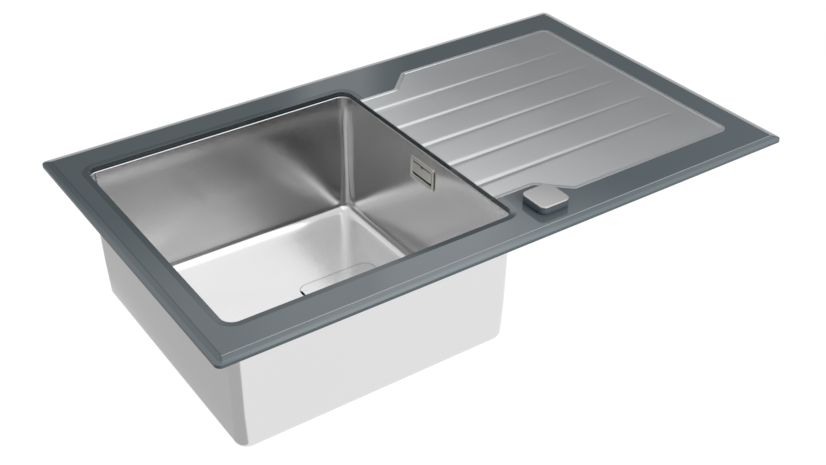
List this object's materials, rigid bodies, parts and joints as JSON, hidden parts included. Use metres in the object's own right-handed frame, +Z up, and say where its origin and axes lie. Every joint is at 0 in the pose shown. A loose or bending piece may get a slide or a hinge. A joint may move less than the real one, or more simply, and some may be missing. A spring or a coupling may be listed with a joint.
{
  "type": "inset kitchen sink",
  "caption": "Inset kitchen sink with a bevelled glass surround, a square steel bowl, a grooved steel drainer, a turning knob and the basket waste it opens.",
  "frame": {"origin": "middle of the rim, on the plane of the worktop, which is the underside of the seal", "axes": "+X along the length towards the drainer, +Y away from the knob to the back, +Z up"},
  "size_m": [0.86, 0.51, 0.3369],
  "materials": {
    "glass": "polished, painted grey on the back",
    "satin_steel": "satin stainless steel",
    "plated_steel": "zinc plated",
    "brass": "turned",
    "foam": "closed-cell foam tape",
    "bond": "cured adhesive",
    "rubber": "moulded",
    "black_plastic": "moulded",
    "hose_plastic": "ribbed polypropylene",
    "sheath_plastic": "extruded",
    "dark_plastic": "moulded, slate grey"
  },
  "bodies": {
    "sink": {"glass_surround": "glass", "rim_seal": "foam", "drainer_plate": "satin_steel", "drainer_film": "bond", "bowl": "satin_steel", "bowl_bond": "bond", "overflow_frame": "satin_steel", "overflow_screw": "plated_steel", "overflow_gasket": "rubber", "overflow_housing": "black_plastic", "overflow_hose": "hose_plastic", "waste_cup": "satin_steel", "cup_gasket": "rubber", "waste_gasket": "rubber", "waste_nut": "black_plastic", "waste_body": "black_plastic", "body_gasket": "rubber", "body_screws": "plated_steel", "lever_pin": "plated_steel", "cable_sheath": "sheath_plastic", "cable_gland": "black_plastic", "knob_sleeve": "brass", "knob_seal": "rubber", "knob_washer": "rubber", "knob_nut": "brass", "knob_housing": "black_plastic", "clip_brackets": "plated_steel", "clip_screws": "plated_steel"},
    "knob": {"knob_cap": "satin_steel", "knob_body": "dark_plastic", "knob_shaft": "plated_steel"},
    "waste_cover": {"drain_cover": "satin_steel"},
    "overflow_lid": {"overflow_cover": "satin_steel"},
    "basket": {"strainer_basket": "satin_steel", "plug_seal": "rubber", "lift_pin": "plated_steel"},
    "lever": {"lift_lever": "plated_steel"},
    "wire": {"cable_end": "plated_steel"},
    "claw_back_left": {"claw_back_left": "plated_steel"},
    "claw_back_middle": {"claw_back_middle": "plated_steel"},
    "claw_back_right": {"claw_back_right": "plated_steel"},
    "claw_end": {"claw_end": "plated_steel"},
    "claw_front_left": {"claw_front_left": "plated_steel"},
    "claw_front_right": {"claw_front_right": "plated_steel"}
  },
  "joints": [
    {"name": "knob_turn", "type": "hinge", "parent": "sink", "child": "knob", "pos_m": [0.0545, -0.204, 0.0107], "axis": [0, 0, -1], "range_deg": [0, 90]},
    {"name": "basket_lift", "type": "slide", "parent": "sink", "child": "basket", "axis": [0, 0, 1], "range_m": [0, 0.007]},
    {"name": "lever_swing", "type": "hinge", "parent": "sink", "child": "lever", "pos_m": [-0.105, -0.014, -0.252], "axis": [1, 0, 0], "range_deg": [0, 28.95]},
    {"name": "wire_pull", "type": "slide", "parent": "sink", "child": "wire", "axis": [0, 1, 0], "range_m": [0, 0.00875]},
    {"name": "waste_cover_lift", "type": "slide", "parent": "sink", "child": "waste_cover", "axis": [0, 0, 1], "range_m": [0, 0.03]},
    {"name": "overflow_lid_pull", "type": "slide", "parent": "sink", "child": "overflow_lid", "axis": [-0.9998, 0, 0.0218], "range_m": [0, 0.02]},
    {"name": "claw_back_left_swing", "type": "hinge", "parent": "sink", "child": "claw_back_left", "pos_m": [-0.301, 0.23, -0.034], "axis": [0, 0, 1], "range_deg": [0, 90]},
    {"name": "claw_back_middle_swing", "type": "hinge", "parent": "sink", "child": "claw_back_middle", "pos_m": [-0.0817, 0.23, -0.034], "axis": [0, 0, 1], "range_deg": [0, 90]},
    {"name": "claw_back_right_swing", "type": "hinge", "parent": "sink", "child": "claw_back_right", "pos_m": [0.2408, 0.23, -0.034], "axis": [0, 0, 1], "range_deg": [0, 90]},
    {"name": "claw_end_swing", "type": "hinge", "parent": "sink", "child": "claw_end", "pos_m": [0.405, 0, -0.034], "axis": [0, 0, 1], "range_deg": [0, 90]},
    {"name": "claw_front_left_swing", "type": "hinge", "parent": "sink", "child": "claw_front_left", "pos_m": [0.1634, -0.195, -0.034], "axis": [0, 0, 1], "range_deg": [0, 90]},
    {"name": "claw_front_right_swing", "type": "hinge", "parent": "sink", "child": "claw_front_right", "pos_m": [0.31735, -0.195, -0.034], "axis": [0, 0, 1], "range_deg": [0, 90]}
  ],
  "couplings": [
    {"joint": "basket_lift", "follows": "knob_turn", "m_per_rad": 0.0044563},
    {"joint": "lever_swing", "follows": "knob_turn", "ratio": 0.32172},
    {"joint": "wire_pull", "follows": "knob_turn", "m_per_rad": 0.0055704}
  ]
}
